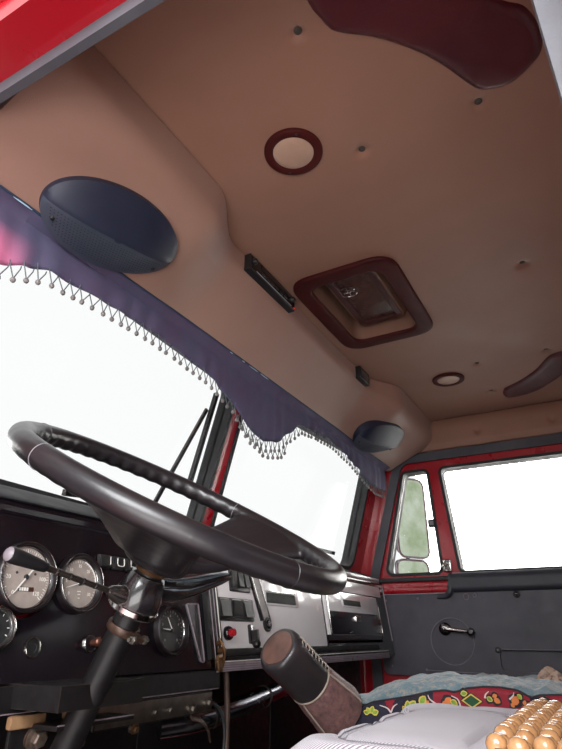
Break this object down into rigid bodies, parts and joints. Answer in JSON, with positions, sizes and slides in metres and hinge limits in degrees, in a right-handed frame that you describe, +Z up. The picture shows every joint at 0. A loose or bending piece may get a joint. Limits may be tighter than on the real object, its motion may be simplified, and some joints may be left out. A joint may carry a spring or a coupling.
{
  "type": "decorated truck cab",
  "caption": "Forward-control truck cab with a trimmed inside: padded ceiling and console, fringed valance, dashboard, steering wheel, seats, roof hatch and hinged doors.",
  "frame": {"origin": "middle of the underside of the underframe's middle crossmember", "axes": "+Z up, the front of the cab faces -Y, +X is the vehicle's left, the driver's side"},
  "size_m": [3.4174, 1.6412, 1.935],
  "materials": {
    "cab_paint": "gloss crimson paint, slightly chalked",
    "chassis_paint": "satin black paint",
    "floor_mat": "ribbed black mat",
    "rubber_seal": "matt black rubber",
    "lip_seal": "aged grey rubber",
    "glazing": "clear safety glass",
    "ceiling_vinyl": "soft brown-beige leatherette",
    "wing_leather": "dark burgundy leather",
    "hatch_trim": "burgundy lacquer",
    "hatch_panel": "crimson paint",
    "lamp_lens": "opal lens in a burgundy ring",
    "turn_lens": "amber lens",
    "speaker_black": "black grille and rim",
    "velvet": "burgundy velvet",
    "dash_black": "polished black",
    "instrument": "pale dials in black rims",
    "switch_black": "black switches",
    "column_paint": "worn black paint",
    "wheel_plastic": "polished dark plastic",
    "lever_leather": "black and brown leather",
    "seat_metal": "black paint",
    "seat_cloth": "grey herringbone cloth",
    "bench_cloth": "patterned cloth",
    "door_trim_black": "grained black board",
    "bright_metal": "chrome plate",
    "mirror_body": "mirror glass in a black head"
  },
  "bodies": {
    "cab": {"underframe": "chassis_paint", "engine_tunnel": "chassis_paint", "floor_pan": "floor_mat", "front_panel": "cab_paint", "grille": "chassis_paint", "windscreen_frame": "cab_paint", "corner_posts": "cab_paint", "side_frames": "cab_paint", "door_seals": "lip_seal", "rear_wall": "cab_paint", "glass_seals": "rubber_seal", "fixed_glass": "glazing", "roof_panel": "cab_paint", "headliner": "ceiling_vinyl", "overhead_console": "ceiling_vinyl", "speakers": "speaker_black", "console_units": "speaker_black", "ceiling_lamps": "lamp_lens", "hatch_frame": "hatch_trim", "hatch_hinges": "chassis_paint", "wing_pads": "wing_leather", "valance": "velvet", "dashboard": "dash_black", "gauges": "instrument", "switch_panel": "switch_black", "glovebox_bin": "switch_black", "steering_column": "column_paint", "column_switches": "switch_black", "gear_lever": "lever_leather", "pedals": "column_paint", "driver_seat_frame": "seat_metal", "driver_cushion": "seat_cloth", "driver_backrest": "seat_cloth", "bench_frame": "seat_metal", "bench_cushion": "bench_cloth", "bench_backrest": "bench_cloth", "steps": "chassis_paint", "turn_lamps": "turn_lens", "wipers": "chassis_paint", "hinge_brackets": "cab_paint"},
    "door_left": {"door_shell_left": "cab_paint", "door_window_seals_left": "rubber_seal", "door_glass_left": "glazing", "door_trim_left": "door_trim_black", "door_fittings_left": "bright_metal", "mirror_left": "mirror_body"},
    "door_right": {"door_shell_right": "cab_paint", "door_window_seals_right": "rubber_seal", "door_glass_right": "glazing", "door_trim_right": "door_trim_black", "door_fittings_right": "bright_metal", "mirror_right": "mirror_body"},
    "steering_wheel": {"steering_wheel": "wheel_plastic"},
    "roof_hatch": {"hatch_lid": "hatch_panel"},
    "glovebox": {"glovebox_lid": "dash_black"}
  },
  "joints": [
    {"name": "driver_door", "type": "hinge", "parent": "cab", "child": "door_left", "pos_m": [1.147, -0.915, 0.8], "axis": [0, 0, 1], "range_deg": [-5, 70]},
    {"name": "passenger_door", "type": "hinge", "parent": "cab", "child": "door_right", "pos_m": [-1.147, -0.915, 0.8], "axis": [0, 0, 1], "range_deg": [0, 75]},
    {"name": "steering", "type": "hinge", "parent": "cab", "child": "steering_wheel", "pos_m": [0.657, -0.569, 1.111], "axis": [0, 0.4756, 0.8796], "range_deg": [-900, 900]},
    {"name": "hatch", "type": "hinge", "parent": "cab", "child": "roof_hatch", "pos_m": [0, -0.306, 1.925], "axis": [-1, 0, 0], "range_deg": [0, 35]},
    {"name": "glove_lid", "type": "hinge", "parent": "cab", "child": "glovebox", "pos_m": [-0.6725, -0.82446, 0.914], "axis": [-1, 0, 0], "range_deg": [0, 80]}
  ]
}
